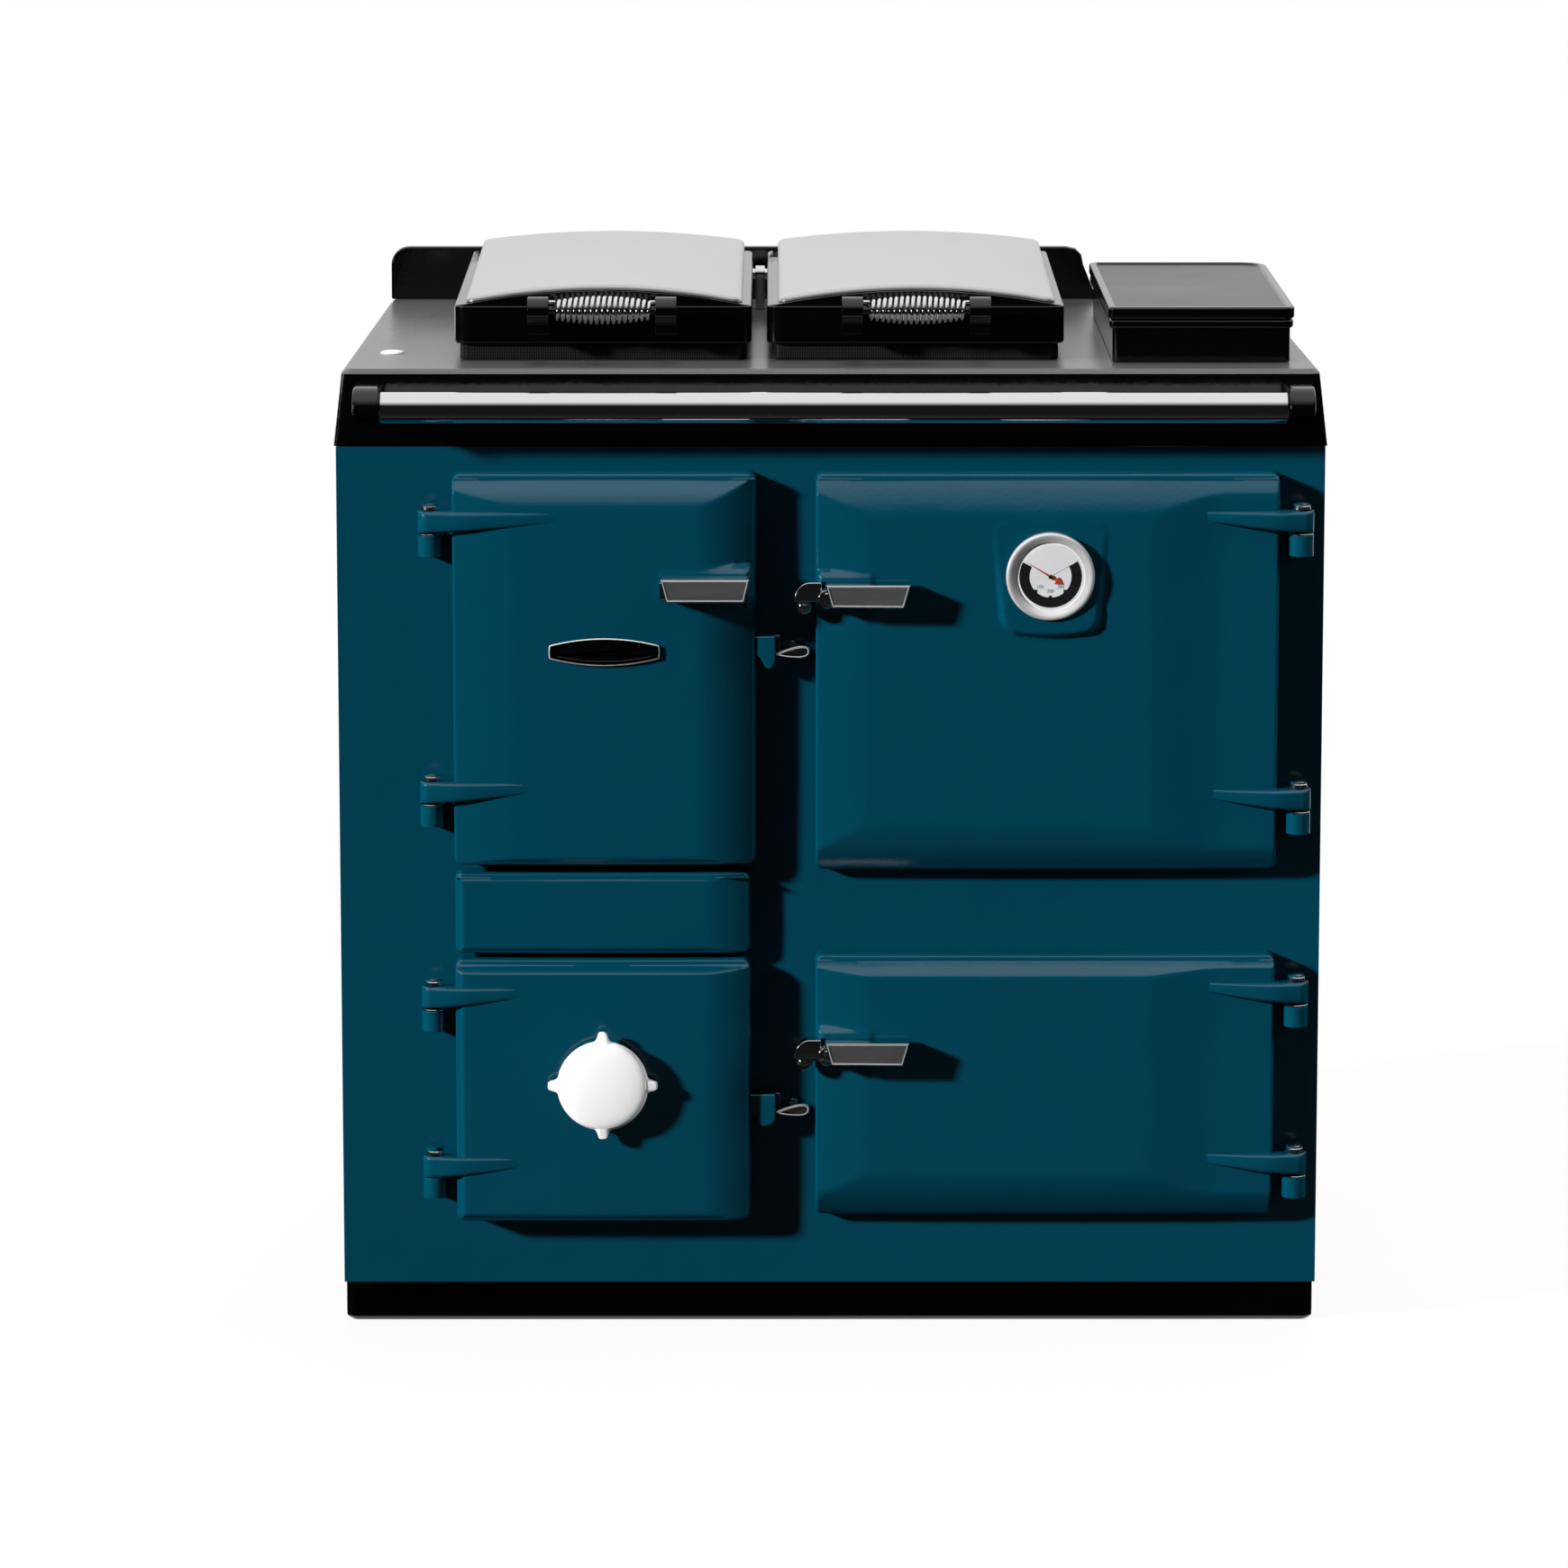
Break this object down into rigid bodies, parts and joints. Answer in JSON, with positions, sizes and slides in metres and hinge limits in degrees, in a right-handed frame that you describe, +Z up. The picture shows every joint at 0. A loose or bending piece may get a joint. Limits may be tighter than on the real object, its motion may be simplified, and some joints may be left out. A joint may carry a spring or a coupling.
{
  "type": "range cooker",
  "caption": "Cast iron range cooker with enamelled doors, hinged domed lids over hotplates, firebox, ovens, towel rail and flue box",
  "frame": {"origin": "middle of the footprint, on the flat underside of the plinth", "axes": "+X to the viewer's right of the front, +Y to the back, +Z up"},
  "size_m": [0.9, 0.6946, 0.9726],
  "materials": {
    "teal_enamel": "glossy dark teal vitreous enamel over cast iron",
    "black_enamel": "glossy black vitreous enamel over cast iron",
    "chrome": "polished chrome plate",
    "ground_iron": "ground and polished cast iron",
    "cast_iron": "bare sand-cast iron",
    "sheet_steel": "plain sheet steel",
    "rope_seal": "braided heat-proof rope",
    "fire_brick": "matt fired clay",
    "pointer_red": "satin red paint",
    "gauge_glass": "clear flat glass"
  },
  "bodies": {
    "cooker": {"plinth": "black_enamel", "base_plate": "cast_iron", "front_plate": "teal_enamel", "left_side_panel": "teal_enamel", "right_side_panel": "teal_enamel", "back_panel": "sheet_steel", "top_plate": "black_enamel", "splashback": "black_enamel", "left_hotplate": "ground_iron", "right_hotplate": "ground_iron", "flue_box": "black_enamel", "flue_spigot": "cast_iron", "towel_rail": "chrome", "rail_bracket_left": "black_enamel", "rail_bracket_right": "black_enamel", "infill_panel": "teal_enamel", "firebox_shell": "cast_iron", "firebrick_left": "fire_brick", "firebrick_right": "fire_brick", "firebrick_back": "fire_brick", "ash_pan": "sheet_steel", "main_oven_box": "black_enamel", "lower_oven_box": "black_enamel", "main_oven_shelf": "sheet_steel", "lower_oven_shelf": "sheet_steel", "lid_hinge_rod": "chrome", "main_oven_keep": "chrome", "lower_oven_keep": "chrome"},
    "flue_cover": {"flue_cover": "black_enamel"},
    "grate": {"grate": "cast_iron"},
    "left_lid": {"left_lid": "black_enamel", "left_lid_dome": "chrome", "left_lid_seal": "rope_seal", "left_lid_handle": "black_enamel", "left_lid_coil": "chrome"},
    "right_lid": {"right_lid": "black_enamel", "right_lid_dome": "chrome", "right_lid_seal": "rope_seal", "right_lid_handle": "black_enamel", "right_lid_coil": "chrome"},
    "firebox_door": {"firebox_door": "teal_enamel", "firebox_door_liner": "cast_iron", "firebox_handle": "chrome", "badge": "black_enamel"},
    "firebox_catch": {"firebox_catch": "chrome"},
    "ashpit_door": {"ashpit_door": "teal_enamel"},
    "ashpit_catch": {"ashpit_catch": "chrome"},
    "spinwheel_hub": {"spinwheel_hub": "sheet_steel"},
    "spinwheel": {"spinwheel": "chrome"},
    "main_oven_door": {"main_oven_door": "teal_enamel", "main_oven_door_liner": "sheet_steel", "thermometer": "chrome", "thermometer_glass": "gauge_glass"},
    "thermometer_pointer": {"thermometer_pointer": "pointer_red"},
    "main_oven_handle": {"main_oven_handle": "chrome"},
    "lower_oven_door": {"lower_oven_door": "teal_enamel", "lower_oven_door_liner": "sheet_steel"},
    "lower_oven_handle": {"lower_oven_handle": "chrome"}
  },
  "joints": [
    {"name": "flue_cover_lift", "type": "slide", "parent": "cooker", "child": "flue_cover", "axis": [0, 0, 1], "range_m": [0, 0.06]},
    {"name": "grate_shake", "type": "slide", "parent": "cooker", "child": "grate", "axis": [0, 1, 0], "range_m": [-0.008, 0.012]},
    {"name": "left_lid_hinge", "type": "hinge", "parent": "cooker", "child": "left_lid", "pos_m": [-0.2075, 0.205, 0.925], "axis": [-1, 0, 0], "range_deg": [0, 90]},
    {"name": "right_lid_hinge", "type": "hinge", "parent": "cooker", "child": "right_lid", "pos_m": [0.078, 0.205, 0.925], "axis": [-1, 0, 0], "range_deg": [0, 90]},
    {"name": "firebox_door_hinge", "type": "hinge", "parent": "cooker", "child": "firebox_door", "pos_m": [-0.362, -0.325, 0.62], "axis": [0, 0, -1], "range_deg": [0, 110]},
    {"name": "ashpit_door_hinge", "type": "hinge", "parent": "cooker", "child": "ashpit_door", "pos_m": [-0.362, -0.325, 0.2315], "axis": [0, 0, -1], "range_deg": [0, 110]},
    {"name": "main_oven_door_hinge", "type": "hinge", "parent": "cooker", "child": "main_oven_door", "pos_m": [0.4255, -0.325, 0.6165], "axis": [0, 0, 1], "range_deg": [0, 110]},
    {"name": "lower_oven_door_hinge", "type": "hinge", "parent": "cooker", "child": "lower_oven_door", "pos_m": [0.4255, -0.325, 0.2335], "axis": [0, 0, 1], "range_deg": [0, 110]},
    {"name": "firebox_catch_turn", "type": "hinge", "parent": "cooker", "child": "firebox_catch", "pos_m": [-0.034, -0.32, 0.636], "axis": [0, -1, 0], "range_deg": [0, 90]},
    {"name": "ashpit_catch_turn", "type": "hinge", "parent": "cooker", "child": "ashpit_catch", "pos_m": [-0.034, -0.32, 0.211], "axis": [0, -1, 0], "range_deg": [0, 90]},
    {"name": "air_stem_slide", "type": "slide", "parent": "ashpit_door", "child": "spinwheel_hub", "axis": [0, -1, 0], "range_m": [0, 0.012]},
    {"name": "spinwheel_turn", "type": "hinge", "parent": "spinwheel_hub", "child": "spinwheel", "pos_m": [-0.2075, -0.35, 0.24], "axis": [0, -1, 0], "range_deg": [0, 720]},
    {"name": "main_oven_lever", "type": "hinge", "parent": "main_oven_door", "child": "main_oven_handle", "pos_m": [-0.0035, -0.355, 0.69], "axis": [0, 1, 0], "range_deg": [0, 30]},
    {"name": "lower_oven_lever", "type": "hinge", "parent": "lower_oven_door", "child": "lower_oven_handle", "pos_m": [-0.0035, -0.355, 0.269], "axis": [0, 1, 0], "range_deg": [0, 30]},
    {"name": "thermometer_reading", "type": "hinge", "parent": "main_oven_door", "child": "thermometer_pointer", "pos_m": [0.198, -0.35, 0.708], "axis": [0, -1, 0], "range_deg": [0, 240]}
  ],
  "couplings": [
    {"joint": "air_stem_slide", "follows": "spinwheel_turn", "m_per_rad": 0.00095}
  ]
}
